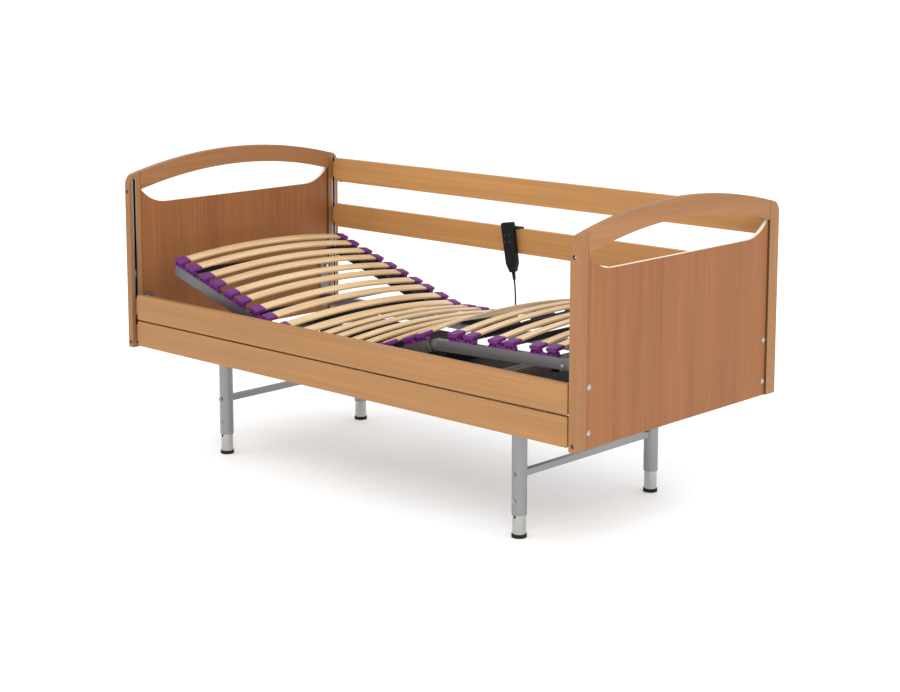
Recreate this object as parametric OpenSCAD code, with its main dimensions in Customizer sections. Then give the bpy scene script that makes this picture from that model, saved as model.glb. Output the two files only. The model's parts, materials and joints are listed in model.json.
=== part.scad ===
// Care bed with a sprung slat base in four sections, two slatted end boards, sliding side
// rails, telescopic legs and a hand control. Origin on the floor under the bed's middle,
// +X to the foot end, +Z up. The sections are drawn raised, the -Y rails lowered and the
// +Y rails raised.

/* [Bed] */
// Length over the end boards
bed_l = 2080; // [1900:5:2300]
// Width over the end boards
bed_w = 1014; // [960:2:1200]
// Height of the top of the end boards' arches
bed_h = 1056; // [1000:1:1200]
// Height of the end boards' lower edges above the floor
board_z = 367; // [340:1:372]

/* [End boards] */
// Thickness of posts and arches
board_t = 25; // [24:0.5:40]
// Width of a post
post_w = 50; // [44:1:60]
// Depth of the arch rail
arch_d = 62; // [45:1:75]
// Rise of the arch's upper edge from a board's sides to its middle
arch_rise = 69.16; // [43:0.01:88]
// Radius of a board's outer top corner
corner_r = 42; // [20:1:45]
// Thickness of the veneered panel
panel_t = 13; // [9:0.5:15]
// Height of the panel's straight upper edge
panel_top = 883; // [780:1:900]
// Radius of the sweep from the panel's edge up to a post
sweep_r = 150; // [120:1:220]

/* [Side rails] */
// Height of a side rail
rail_h = 90; // [60:1:100]
// Thickness of a side rail
rail_t = 20; // [18:0.5:24]
// Gap between the rails when raised
rail_gap = 90; // [60:1:100]
// Gap between the rails when lowered
rail_nest = 6; // [2:0.5:10]
// Height of the upper rail's top edge when raised
rail_top = 974; // [950:1:980]
// Height of the lower rail's bottom edge when lowered
rail_low = 374; // [374:1:390]
// Gap between a rail's end and an end board
rail_end_gap = 14.5; // [10:0.5:20]
// Distance from a post's side face to the rails' centre plane
rail_inset = 21; // [18:0.5:24]

/* [Slat base] */
// Height of the section hinges
hinge_z = 460.5; // [450:0.5:470]
// Distance of the back hinge from the bed's middle, to the head
back_x = 262; // [240:1:300]
// Distance of the thigh hinge from the bed's middle, to the foot
thigh_x = 58; // [40:1:80]
// Thigh hinge to knee hinge
thigh_l = 350; // [330:1:380]
// Length of the back section's frame
back_l = 660; // [640:1:690]
// Length of the lower leg section's frame
calf_l = 575; // [520:1:590]
// Angle of the back section
back_a = 16.9; // [0:0.1:60]
// Angle of the thigh section
thigh_a = 18.4; // [0:0.1:33]
// Rise of the lower leg section per degree of thigh
calf_share = 0.1141; // [0.1:0.0001:0.13]
// Half width over the slat holders
holder_y = 409; // [380:1:409]
// Height of the side profiles
prof_h = 35; // [30:1:40]
// Width of the side profiles
prof_w = 20; // [15:1:22]
// Diameter of the cross tubes and section shafts
tube_d = 20; // [16:1:22]

/* [Slats] */
// Width of a slat
slat_w = 35; // [30:1:38]
// Thickness of a slat
slat_t = 8; // [6:0.5:9]
// Rise of a slat from its ends to its middle
slat_crown = 28; // [10:1:35]
// Distance between the two slats of a double holder
slat_pitch = 64.5; // [60:0.5:70]
// Distance between double holders on the back and seat
pair_short = 140; // [132:1:145]
// Distance between double holders on the thigh and lower leg
pair_long = 166; // [160:1:170]

/* [Underframe and legs] */
// Height of the underframe beams' top faces
beam_top = 440; // [430:1:440]
// Height of the underframe beams
beam_h = 40; // [30:1:50]
// Distance of the head end legs from the middle
leg_head_x = 710; // [600:1:760]
// Distance of the foot end legs from the middle
leg_foot_x = 679; // [600:1:760]
// Distance of the legs from the centre line
leg_y = 332; // [250:1:345]
// Diameter of the outer leg tubes
leg_d = 48; // [40:0.5:54]
// Wall of the leg tubes
leg_wall = 2.6; // [2:0.1:3]
// Height of the outer tubes' lower ends above the floor
sleeve_z = 72; // [60:1:90]
// Height of the leg braces
brace_z = 200; // [150:1:260]

/* [Hand control] */
// Length of the hand control
handset_l = 181; // [150:1:200]
// Width of the hand control
handset_w = 54; // [45:1:60]
// Thickness of the hand control
handset_t = 23; // [20:1:24]
// Place of the hand control along the rail
handset_x = -74; // [-300:1:300]
// Lean of the hand control
handset_a = 9.4; // [0:0.5:10]

/* [Hidden] */

$fn = 48;
wood = "burlywood";
veneer = "peru";
steel = "silver";
dark = "dimgray";
black = "black";
plastic = "purple";

tube_wall = 2;        // wall of the rectangular steel tubes
gap = 0.5;            // clearance between pieces that move past each other
fit = 0.05;           // radial clearance of a running fit
half_l = bed_l / 2;
half_w = bed_w / 2;
inner_x = half_l - board_t;
sides = [-1, 1];
ends = [-1, 1];
post_in = half_w - post_w;
arch_r = (half_w * half_w + arch_rise * arch_rise) / (2 * arch_rise);
arch_cz = bed_h - arch_r;
function arch_z(y, r) = arch_cz + sqrt(r * r - y * y);

// Post and panel joint
tongue_d = 8;
groove_play = 0.1;

screw_low = board_z + 18.5;
screw_high = 931.5;
screw_x = half_l - 10.7;
screw_d = 6;
screw_head = 11;
screw_bore = 14;
screw_deep = 12;
function screw_tip(z) = z > panel_top ? post_in - 6 : post_in - 38;
dowel_d = 8;
dowel_in = 25;
dowel_out = 15;
dowel_drop = [20, 44];

// Rails and their guides
rail_y = half_w - rail_inset;
rail_end = inner_x - rail_end_gap;
upper_z = rail_top - rail_h;
lower_z = upper_z - rail_gap - rail_h;
nest_lower = rail_low;
nest_upper = nest_lower + rail_h + rail_nest;
chan_w = 16;
chan_d = 11;
chan_wall = 1.5;
chan_mouth = 9;
chan_bottom = rail_low + 6;
chan_top = rail_top + 2;
glide_w = chan_w - 2 * chan_wall - 2 * gap;
glide_d = chan_d - 2 * chan_wall - 2 * gap - 1.2;
glide_neck = chan_mouth - 2 * gap;
glide_len = 60;
rail_corner = 5;
latch_d = 12;
latch_x = 28;
latch_out = 3;
latch_deep = 22;
latch_travel = 2.5;
catch_z = 621;
catch_h = 26;
catch_t = 1;

// Section frames: heights are measured from the hinge line
prof_top = prof_h / 2;
prof_y = holder_y - 4 - prof_w / 2;
rail_in_y = 360;
rail_in_w = 20;
rail_in_top = -2;
plate_t = 6;
plate_y = prof_y - prof_w / 2 - plate_t / 2;
plate_l = 60;
plate_cut = 8;
seat_start = 34;
pin_d = 16;
pin_len = holder_y - rail_in_y - rail_in_w / 2 - 4;
end_play = 12;
stud_d = 13;
stud_t = 3;
thigh_stud = [318, -8];
calf_stud = [517, -7];
holder_l = 43;
holder_base = 5;
sleeve_h = 12.4;
sleeve_w = slat_w + 5;
slat_lift = 20.5;
sleeve_in_y = holder_y - holder_l / 2;
slat_end = holder_y - 8;
slat_r = (slat_end * slat_end + slat_crown * slat_crown) / (2 * slat_crown);
sleeve_tilt = asin(sleeve_in_y / slat_r);
slat_play = 0.2;
calf_a = calf_share * thigh_a;
knee = [thigh_x + thigh_l * cos(thigh_a), 0, hinge_z + thigh_l * sin(thigh_a)];

// First slat edge from each hinge, along its section
back_first = 667.4;
seat_first = back_x - 217;
thigh_first = 49.7;
calf_first = 58.6;
back_pairs = [for (k = [0:4]) back_first - sleeve_w - slat_pitch - k * pair_short];
seat_pairs = [for (k = [0, 1]) seat_first - back_x + k * pair_short];
thigh_pairs = [thigh_first, thigh_first + pair_long];
calf_pairs = [for (k = [0:2]) calf_first + k * pair_long];

// Cross tubes, from each hinge along its section
back_tubes = [150, 260, back_l - 35];
thigh_tubes = [];
calf_tubes = [180, calf_l - 20];

// Underframe
cross_top = 422;
cross_h = 32;
flange_t = 5;
beam_w = 23;
beam_y = holder_y + 3 + beam_w / 2;
cross_w = 40;
plate_x = half_l - (board_t - panel_t) / 2 - panel_t;
end_plate_t = 5;
end_plate_h = 172;
end_plate_z = 386;
bolt_y = half_w - 65;
bolt_zs = [414, 549];
carrier_y = 120;
carrier_w = 30;
carrier_h = 40;
carrier_top = 415;

// Legs
sleeve_top = cross_top - cross_h - flange_t;
sleeve_in = leg_d - 2 * leg_wall;
inner_d = sleeve_in - 4 * fit;
pin_z = 116;
pin_hole_d = 8;
lock_d = pin_hole_d - 2 * fit;
hole_pitch = 50;
leg_top = 190;
foot_h = 11;
foot_wall = 2.5;
brace_w = 20;

// Support of the lower leg section
strut_base = [402.3, 434.9];
strut_l = 445.7;
strut_share = 0.8924;
strut_0 = -0.53;
strut_a = strut_0 + strut_share * thigh_a;
strut_y = 330;
strut_t = 10;
strut_pin = [440, -30];
strut_pin_d = 12;

// Drive
drive_half = 78;
drive_wall = 3;
drive_bottom = 386;
drive_split = 440;
drive_top = 482;
drive_over = 72;
drive_x0 = -back_x - drive_over;
drive_x1 = thigh_x + drive_over;
crank_l = 42;
crank_a = 18;
crank_w = 24;
crank_t = 14;

// Control box
box_x0 = thigh_x + drive_over + 30;
box_x1 = leg_foot_x - cross_w / 2 - 20;
box_half = carrier_y - carrier_w / 2 - 5;
box_bottom = 350;
box_top = 420;
box_wall = 3;

// Hand control and its cord
handset_y = rail_y - rail_t / 2 - 4.5 - handset_t / 2;
handset_top = lower_z + rail_h + 21;
handset_low_w = 50;
handset_end_w = 28;
handset_r = 8;
hook_t = 2.5;
hook_rise = rail_nest - 1;
hook_w = 57;
clip_w = 22;
key_cols = [-11, 11];
key_rows = [-46, -70];
key_d = 9;
key_out = 1.6;
key_deep = 5;
key_travel = 1.2;
gland_l = 28;
gland_bore = 12;
cord_d = 6;
cord_sides = 10;
cord_step = 18;
cord_pts = [
    [-42, 460, 620.6], [-40, 460, 608], [-35, 460, 560], [-32, 458, 500], [-29, 456, 430],
    [-34, 448, 374], [-70, 420, 346], [-130, 370, 326], [-190, 310, 306], [-230, 250, 290],
    [-220, 195, 280], [-170, 165, 276], [-90, 160, 276], [0, 162, 280], [80, 166, 290],
    [150, 168, 306], [210, 160, 330], [240, 142, 352], [250, 124, 364], [250, 100, 364]
];

module at_back() {
    translate([-back_x, 0, hinge_z])
        rotate([0, back_a, 0])
            children();
}

module at_thigh() {
    translate([thigh_x, 0, hinge_z])
        rotate([0, -thigh_a, 0])
            children();
}

module at_knee() {
    translate(knee)
        rotate([0, -calf_a, 0])
            children();
}

module both_sides() {
    for (s = sides)
        mirror([0, s < 0 ? 1 : 0, 0])
            children();
}

module bar_x(x0, x1, y, w, z0, z1) {
    translate([x0, y - w / 2, z0])
        cube([x1 - x0, w, z1 - z0]);
}

// Rectangular tube along x, open at its ends
module tube_x(x0, x1, y, w, z0, z1) {
    difference() {
        bar_x(x0, x1, y, w, z0, z1);
        bar_x(x0 - 1, x1 + 1, y, w - 2 * tube_wall, z0 + tube_wall, z1 - tube_wall);
    }
}

module rod_y(x, z, d, y0, y1) {
    translate([x, y0, z])
        rotate([-90, 0, 0])
            cylinder(d = d, h = y1 - y0);
}

// ---- End boards ----

module board_outline() {
    intersection() {
        translate([0, arch_cz])
            circle(r = arch_r, $fn = 720);
        translate([-half_w, board_z])
            square([bed_w, bed_h]);
    }
}

module outer_corner() {
    corner_z = arch_z(half_w - corner_r, arch_r) - corner_r;
    difference() {
        translate([half_w - corner_r, corner_z])
            square([corner_r + 1, bed_h]);
        translate([half_w - corner_r, corner_z])
            circle(r = corner_r);
    }
}

module on_board(e, t) {
    translate([e > 0 ? half_l - board_t / 2 - t / 2 : -half_l + board_t / 2 - t / 2, 0, 0])
        rotate([90, 0, 90])
            linear_extrude(t)
                children();
}

module posts(e) {
    color(wood)
    both_sides()
    difference() {
        on_board(e, board_t)
        difference() {
            intersection() {
                board_outline();
                translate([post_in, 0])
                    square([post_w, bed_h * 2]);
            }
            outer_corner();
        }
        panel_groove(e);
        chan_cut(e);
        for (z = [screw_low, screw_high])
            screw_space(z, e);
        dowel_holes(e);
    }
}

module panel_groove(e) {
    groove = panel_t + 2 * groove_play;
    translate([e * (half_l - board_t / 2) - groove / 2, post_in - 1, board_z - 1])
        cube([groove, tongue_d + 1 + groove_play, screw_high + 12 - board_z]);
}

module chan_cut(e) {
    translate([e > 0 ? inner_x - 1 : -inner_x - chan_d, rail_y - chan_w / 2, chan_bottom])
        cube([chan_d + 1, chan_w, chan_top - chan_bottom]);
}

module screw_space(z, e) {
    rod_y(e * screw_x, z, screw_d, screw_tip(z) - 1, half_w + 1);
    rod_y(e * screw_x, z, screw_bore, half_w - screw_deep, half_w + 1);
}

module post_screws() {
    color(steel)
    for (e = ends, z = [screw_low, screw_high])
        both_sides()
        difference() {
            union() {
                rod_y(e * screw_x, z, screw_d, screw_tip(z), half_w - screw_deep);
                rod_y(e * screw_x, z, screw_head, half_w - screw_deep, half_w - screw_deep + 6);
            }
            translate([e * screw_x, half_w - screw_deep + 3, z])
                rotate([-90, 0, 0])
                    cylinder(d = 5.8, h = 10, $fn = 6);
        }
}

module dowel_holes(e) {
    for (drop = dowel_drop)
        rod_y(e * (half_l - board_t / 2), arch_z(post_in, arch_r) - drop, dowel_d,
            post_in - dowel_in - 1, post_in + dowel_out + 1);
}

module arch_dowels() {
    color(wood)
    for (e = ends, drop = dowel_drop)
        both_sides()
            rod_y(e * (half_l - board_t / 2), arch_z(post_in, arch_r) - drop, dowel_d,
                post_in - dowel_in, post_in + dowel_out);
}

module arch(e) {
    color(wood)
    difference() {
        on_board(e, board_t)
        difference() {
            intersection() {
                board_outline();
                translate([-post_in, 0])
                    square([2 * post_in, bed_h * 2]);
            }
            translate([0, arch_cz])
                circle(r = arch_r - arch_d, $fn = 720);
            translate([-half_w, 0])
                square([bed_w, panel_top]);
        }
        both_sides()
            dowel_holes(e);
    }
}

module panel_outline() {
    sweep_z = panel_top + sweep_r;
    sweep_y = post_in - sqrt(sweep_r * sweep_r - pow(sweep_z - screw_high - 11, 2));
    difference() {
        translate([-post_in - tongue_d, board_z])
            square([2 * (post_in + tongue_d), screw_high + 11 - board_z]);
        translate([-sweep_y, panel_top])
            square([2 * sweep_y, sweep_r]);
        for (s = sides)
            translate([s * sweep_y, sweep_z])
                circle(r = sweep_r, $fn = 72);
        difference() {
            translate([-half_w, panel_top])
                square([bed_w, bed_h]);
            translate([0, arch_cz])
                circle(r = arch_r - arch_d, $fn = 720);
            for (s = sides)
                translate([s > 0 ? post_in : -half_w, panel_top])
                    square([half_w - post_in, bed_h]);
        }
    }
}

module panel(e) {
    color(veneer)
    difference() {
        on_board(e, panel_t)
            panel_outline();
        both_sides() {
            for (z = [screw_low, screw_high])
                screw_space(z, e);
            for (z = bolt_zs)
                translate([e * half_l, bolt_y, z])
                    rotate([0, 90, 0])
                        cylinder(d = 8.4, h = 4 * board_t, center = true);
        }
    }
}

// ---- Rail guides ----

module chan_profile() {
    difference() {
        translate([0, -chan_w / 2])
            square([chan_d, chan_w]);
        translate([chan_wall, -chan_w / 2 + chan_wall])
            square([chan_d - 2 * chan_wall, chan_w - 2 * chan_wall]);
        translate([-1, -chan_mouth / 2])
            square([chan_wall + 2, chan_mouth]);
    }
}

module in_channel(e) {
    both_sides()
        translate([e * inner_x, rail_y, 0])
            mirror([e < 0 ? 1 : 0, 0, 0])
                children();
}

module guide_channels() {
    color(steel)
    for (e = ends)
        in_channel(e)
            translate([0, 0, chan_bottom])
                linear_extrude(chan_top - chan_bottom)
                    chan_profile();
}

module catch_springs() {
    color(wood)
    for (e = ends)
        in_channel(e)
            translate([chan_d - chan_wall - catch_t, -chan_w / 2 + chan_wall, catch_z])
                cube([catch_t, chan_w - 2 * chan_wall, catch_h]);
}

// ---- Side rails: z is the rail's lower edge ----

module glide(z) {
    for (e = ends)
        translate([e * rail_end, rail_y, z + (rail_h - glide_len) / 2])
            mirror([e < 0 ? 1 : 0, 0, 0]) {
                neck = rail_end_gap + chan_wall + gap;
                translate([0, -glide_neck / 2, 0])
                    cube([neck, glide_neck, glide_len]);
                translate([neck, -glide_w / 2, 0])
                    cube([glide_d, glide_w, glide_len]);
            }
}

module side_rail(z, s, latch) {
    color(wood)
    mirror([0, s < 0 ? 1 : 0, 0]) {
        difference() {
            translate([-rail_end, rail_y - rail_t / 2, z])
                cube([2 * rail_end, rail_t, rail_h]);
            for (e = ends)
                translate([e * rail_end, rail_y, z + rail_h / 2])
                    rail_round(e);
            if (latch)
                latch_space(z);
        }
        glide(z);
    }
}

module rail_round(e) {
    for (up = [-1, 1])
        mirror([e < 0 ? 1 : 0, 0, 0])
            mirror([0, 0, up < 0 ? 1 : 0])
                translate([-rail_corner, -rail_t, rail_h / 2 - rail_corner])
                    difference() {
                        cube([rail_corner * 2, rail_t * 2, rail_corner * 2]);
                        translate([0, -1, 0])
                            rotate([-90, 0, 0])
                                cylinder(r = rail_corner, h = rail_t * 2 + 2);
                    }
}

module latch_space(z) {
    translate([-rail_end + latch_x, rail_y, z - 1])
        cylinder(d = latch_d + 2 * fit, h = latch_deep + latch_travel + 2);
}

module latch(z, s) {
    color(dark)
    mirror([0, s < 0 ? 1 : 0, 0])
        translate([-rail_end + latch_x, rail_y, z - latch_out])
            cylinder(d = latch_d, h = latch_deep + latch_out);
}

// ---- Underframe ----

module side_beams() {
    color(steel)
    both_sides() {
        tube_x(-plate_x + end_plate_t, plate_x - end_plate_t, beam_y, beam_w, beam_top - beam_h,
            beam_top);
        for (e = ends)
            end_plate(e);
        for (x = [-back_x + 50, thigh_x - 50])
            seat_bracket(x);
    }
}

module end_plate(e) {
    difference() {
        translate([e > 0 ? plate_x - end_plate_t : -plate_x, beam_y - beam_w / 2, end_plate_z])
            cube([end_plate_t, post_in - beam_y + beam_w / 2 - 1, end_plate_h]);
        for (z = bolt_zs)
            translate([e * plate_x, bolt_y, z])
                rotate([0, 90, 0])
                    cylinder(d = 8.4, h = 4 * end_plate_t, center = true);
    }
}

// Carries the seat's rails on the side beam
module seat_bracket(x) {
    inner = rail_in_y - rail_in_w / 2;
    base_z = beam_top - 6;
    translate([x - 15, inner, base_z])
        cube([30, beam_y - beam_w / 2 - inner, hinge_z - prof_top - base_z]);
}

module cross_beams() {
    color(steel)
    for (x = [-leg_head_x, leg_foot_x])
        translate([x, 0, 0])
            rotate([0, 0, 90])
                tube_x(-beam_y + beam_w / 2, beam_y - beam_w / 2, 0, cross_w, cross_top - cross_h,
                    cross_top);
}

module frame_bolts() {
    washer_t = 1.6;
    nut_h = 6.5;
    panel_out = half_l - (board_t - panel_t) / 2;
    color(steel)
    for (e = ends)
        both_sides()
            for (z = bolt_zs)
                translate([e * plate_x, bolt_y, z])
                    rotate([0, e * 90, 0]) {
                        translate([0, 0, -end_plate_t - nut_h])
                            cylinder(d = 13, h = nut_h, $fn = 6);
                        translate([0, 0, -end_plate_t - nut_h])
                            cylinder(d = 8, h = nut_h + end_plate_t + panel_t);
                        translate([0, 0, panel_out - plate_x])
                            cylinder(d = 17, h = washer_t);
                        translate([0, 0, panel_out - plate_x + washer_t])
                            cylinder(d1 = 15, d2 = 7, h = 4);
                    }
}

module carrier_rails() {
    x0 = -leg_head_x + cross_w / 2;
    x1 = leg_foot_x - cross_w / 2;
    color(black)
    both_sides() {
        difference() {
            union() {
                tube_x(x0, x1, carrier_y, carrier_w, carrier_top - carrier_h, carrier_top);
                bar_x(strut_base[0] - 16, strut_base[0] + 16, carrier_y, 12, carrier_top,
                    strut_base[1] + 8);
            }
            rod_y(strut_base[0], strut_base[1], tube_d + 2 * fit, 0, half_w);
        }
    }
}

module seat_profiles() {
    color(steel)
    both_sides() {
        tube_x(-back_x + seat_start, thigh_x - end_play - pin_d / 2, prof_y, prof_w,
            hinge_z - prof_top, hinge_z + prof_top);
        bearing_plate(-back_x, 1);
        bearing_plate(thigh_x, -1);
    }
}

module bearing_plate(x, toward) {
    difference() {
        union() {
            rod_y(x, hinge_z, prof_h, plate_y - plate_t / 2, plate_y + plate_t / 2);
            translate([toward > 0 ? x : x - plate_l, plate_y - plate_t / 2, hinge_z - prof_top])
                cube([plate_l, plate_t, prof_h - plate_cut]);
        }
        rod_y(x, hinge_z, pin_d + 2 * fit, 0, half_w);
    }
}

module seat_rails() {
    color(black)
    both_sides()
        tube_x(-back_x + end_play + tube_d, thigh_x - end_play - tube_d, rail_in_y, rail_in_w,
            hinge_z - prof_top, hinge_z + rail_in_top);
}

// ---- Sections: local x runs from the hinge along the section ----

module section_profiles(l) {
    color(steel)
    both_sides()
        tube_x(end_play + pin_d / 2, l, prof_y, prof_w, -prof_top, prof_top);
}

// Head of a stud pressed into the profile's outer wall
module profile_stud(at) {
    rod_y(at[0], at[1], stud_d, prof_y + prof_w / 2, prof_y + prof_w / 2 + stud_t);
}

// Inner side rails, the hinge shaft with its pins, and the cross tubes
module section_frame(l, tubes) {
    color(black) {
        both_sides() {
            tube_x(0, l, rail_in_y, rail_in_w, -prof_top, rail_in_top);
            rod_y(0, 0, prof_h, rail_in_y - rail_in_w / 2, rail_in_y + rail_in_w / 2);
            rod_y(0, 0, pin_d, rail_in_y, rail_in_y + rail_in_w / 2 + pin_len);
        }
        rod_y(0, 0, tube_d, -rail_in_y, rail_in_y);
        for (x = tubes)
            rod_y(x, 0, tube_d, -rail_in_y, rail_in_y);
    }
}

// Webs that join each profile to its inner rail
module section_webs(xs) {
    color(black)
    both_sides()
        for (x = xs)
            translate([x - 12, rail_in_y + rail_in_w / 2, -4])
                cube([24, prof_y - prof_w / 2 - rail_in_y - rail_in_w / 2, 8]);
}

module slat(x) {
    translate([x + (sleeve_w - slat_w) / 2, 0, prof_top + slat_lift - slat_t / 2 + slat_crown - slat_r])
        rotate([90, 0, 90])
            rotate(90 - asin(slat_end / slat_r))
                rotate_slat();
}

module rotate_slat() {
    rotate_extrude(angle = 2 * asin(slat_end / slat_r), $fn = 180)
        translate([slat_r, 0])
            square([slat_t, slat_w]);
}

module slats(firsts) {
    color("wheat")
    for (x = firsts, k = [0, 1])
        slat(x + k * slat_pitch);
}

// One double holder: a base strip with two webbed feet under each tilted sleeve
module double_holder(x) {
    base_y = holder_y - 22;
    base_w = 18;
    sleeve_mid = prof_top + slat_lift + slat_crown - slat_r + sqrt(slat_r * slat_r - sleeve_in_y * sleeve_in_y);
    difference() {
        union() {
            translate([x, base_y, prof_top])
                cube([slat_pitch + sleeve_w, base_w, holder_base]);
            for (k = [0, 1])
                translate([x + k * slat_pitch, 0, 0]) {
                    for (fx = [5, sleeve_w - 12])
                        translate([fx, base_y, prof_top + holder_base])
                            cube([7, base_w, 13]);
                    translate([0, sleeve_in_y, sleeve_mid])
                        rotate([-sleeve_tilt, 0, 0])
                            translate([0, -holder_l / 2, -sleeve_h / 2])
                                cube([sleeve_w, holder_l, sleeve_h]);
                }
        }
        for (k = [0, 1])
            translate([x + k * slat_pitch + (sleeve_w - slat_w) / 2 - slat_play, sleeve_in_y, sleeve_mid])
                rotate([-sleeve_tilt, 0, 0])
                    translate([0, -holder_l / 2 - 1, -slat_t / 2 - slat_play])
                        cube([slat_w + 2 * slat_play, holder_l - 3, slat_t + 2 * slat_play]);
    }
}

module holders(firsts) {
    color(plastic)
    both_sides()
        for (x = firsts)
            double_holder(x);
}

module back_side() {
    at_back()
        mirror([1, 0, 0])
            children();
}

module back_profiles() {
    back_side()
        section_profiles(back_l);
}

module back_frame() {
    back_side() {
        section_frame(back_l, back_tubes);
        section_webs([60, 330, 600]);
    }
    drive_crank(-back_x, crank_a);
}

module back_holders() {
    back_side()
        holders(back_pairs);
}

module back_slats() {
    back_side()
        slats(back_pairs);
}

module seat_holders() {
    translate([0, 0, hinge_z])
        holders(seat_pairs);
}

module seat_slats() {
    translate([0, 0, hinge_z])
        slats(seat_pairs);
}

module thigh_profiles() {
    knee_end = thigh_l - end_play - pin_d / 2;
    at_thigh()
    difference() {
        union() {
            section_profiles(knee_end);
            color(steel)
            both_sides() {
                profile_stud(thigh_stud);
                rod_y(thigh_l, 0, prof_h, plate_y - plate_t / 2, plate_y + plate_t / 2);
                translate([thigh_l - 50, plate_y - plate_t / 2, -prof_top])
                    cube([50, plate_t, prof_h]);
            }
        }
        both_sides()
            rod_y(thigh_l, 0, pin_d + 2 * fit, 0, half_w);
    }
}

module thigh_frame() {
    at_thigh() {
        section_frame(thigh_l - end_play - tube_d, thigh_tubes);
        section_webs([60, 270]);
    }
    drive_crank(thigh_x, -crank_a);
}

module thigh_holders() {
    at_thigh()
        holders(thigh_pairs);
}

module thigh_slats() {
    at_thigh()
        slats(thigh_pairs);
}

module calf_profiles() {
    y0 = prof_y - prof_w / 2;
    color(steel)
    at_knee()
    both_sides()
    difference() {
        union() {
            tube_x(prof_h / 2, calf_l, prof_y, prof_w, -prof_top, prof_top);
            rod_y(0, 0, prof_h, y0, y0 + prof_w);
            bar_x(0, prof_h / 2 + 4, prof_y, prof_w, -prof_top, prof_top);
            profile_stud(calf_stud);
        }
        rod_y(0, 0, pin_d, 0, half_w);
    }
}

module calf_frame() {
    at_knee() {
        section_frame(calf_l, calf_tubes);
        section_webs([60, 300, 540]);
        color(black)
        both_sides() {
            inner = rail_in_y - rail_in_w / 2;
            translate([strut_pin[0] - 14, inner - 5, strut_pin[1] - 12])
                cube([28, 5, 12 + rail_in_top - strut_pin[1]]);
            rod_y(strut_pin[0], strut_pin[1], strut_pin_d, strut_y - strut_t / 2 - 3, inner - 4);
        }
    }
}

module calf_holders() {
    at_knee()
        holders(calf_pairs);
}

module calf_slats() {
    at_knee()
        slats(calf_pairs);
}

// ---- Lower leg support ----

module strut() {
    boss_d = 26;
    hole_d = strut_pin_d + 1.4;
    color(steel)
    translate([strut_base[0], 0, strut_base[1]])
        rotate([0, -strut_a, 0]) {
            both_sides()
            difference() {
                union() {
                    for (x = [0, strut_l])
                        rod_y(x, 0, boss_d, strut_y - strut_t / 2, strut_y + strut_t / 2);
                    bar_x(0, strut_l, strut_y, strut_t, -8, 8);
                }
                rod_y(0, 0, tube_d + 2 * fit, 0, half_w);
                rod_y(strut_l, 0, hole_d, 0, half_w);
            }
            rod_y(120, 0, 14, -strut_y + strut_t / 2, strut_y - strut_t / 2);
        }
}

module strut_shaft() {
    color(steel)
        rod_y(strut_base[0], strut_base[1], tube_d, -strut_y - strut_t / 2 - 4, strut_y + strut_t / 2 + 4);
}

// ---- Drive ----

module drive_crank(x, a) {
    color(black)
    translate([x, 0, hinge_z])
        rotate([0, a, 0])
            translate([0, -crank_w / 2, 0]) {
                translate([-crank_t / 2, 0, -crank_l])
                    cube([crank_t, crank_w, crank_l]);
                translate([0, 0, -crank_l])
                    rotate([-90, 0, 0])
                        cylinder(d = crank_t + 4, h = crank_w);
            }
}

module drive_shell(z0, z1) {
    translate([drive_x0, -drive_half, z0])
        cube([drive_x1 - drive_x0, 2 * drive_half, z1 - z0]);
}

module shaft_slots() {
    for (x = [-back_x, thigh_x])
        rod_y(x, hinge_z, tube_d + 2 * gap, -half_w, half_w);
}

module drive_housing() {
    color(black)
    difference() {
        drive_shell(drive_bottom, drive_split);
        translate([drive_x0 + drive_wall, -drive_half + drive_wall, drive_bottom + drive_wall])
            cube([drive_x1 - drive_x0 - 2 * drive_wall, 2 * (drive_half - drive_wall), drive_split]);
    }
    color(black)
    both_sides()
        for (x = [drive_x0 + 90, drive_x1 - 90])
            translate([x - 15, drive_half, drive_bottom])
                cube([30, carrier_y - carrier_w / 2 - drive_half, 6]);
}

module drive_lid() {
    color(black)
    difference() {
        drive_shell(drive_split, drive_top);
        translate([drive_x0 + drive_wall, -drive_half + drive_wall, drive_split - 1])
            cube([drive_x1 - drive_x0 - 2 * drive_wall, 2 * (drive_half - drive_wall),
                drive_top - drive_split - drive_wall + 1]);
        shaft_slots();
    }
}

module control_box() {
    color(black) {
        difference() {
            translate([box_x0, -box_half, box_bottom])
                cube([box_x1 - box_x0, 2 * box_half, box_top - box_bottom]);
            translate([box_x0 + box_wall, -box_half + box_wall, box_bottom + box_wall])
                cube([box_x1 - box_x0 - 2 * box_wall, 2 * (box_half - box_wall),
                    box_top - box_bottom - 2 * box_wall]);
        }
        for (x = [box_x0 + 40, box_x1 - 40])
            translate([x - 15, -carrier_y - carrier_w / 2, box_bottom - 4])
                cube([30, 2 * carrier_y + carrier_w, 4]);
        both_sides()
            for (x = [box_x0 + 40, box_x1 - 40])
                translate([x - 15, carrier_y - 3, box_bottom - 4])
                    cube([30, 6, carrier_top - carrier_h - box_bottom + 4]);
    }
}

// ---- Legs ----

module leg_places() {
    for (x = [-leg_head_x, leg_foot_x], s = sides)
        translate([x, s * leg_y, 0])
            mirror([0, s < 0 ? 1 : 0, 0])
                children();
}

module leg_sleeves() {
    color(steel)
    leg_places() {
        difference() {
            translate([0, 0, sleeve_z])
                cylinder(d = leg_d, h = sleeve_top - sleeve_z);
            translate([0, 0, sleeve_z - 1])
                cylinder(d = sleeve_in, h = sleeve_top - sleeve_z + 2);
            rod_y(0, pin_z, pin_hole_d, 0, leg_d);
            rod_y(0, brace_z, pin_hole_d, -leg_d, leg_d);
        }
        translate([-leg_d / 2 - 21, -leg_d / 2 - 21, sleeve_top])
            cube([leg_d + 42, leg_d + 42, flange_t]);
    }
}

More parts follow.
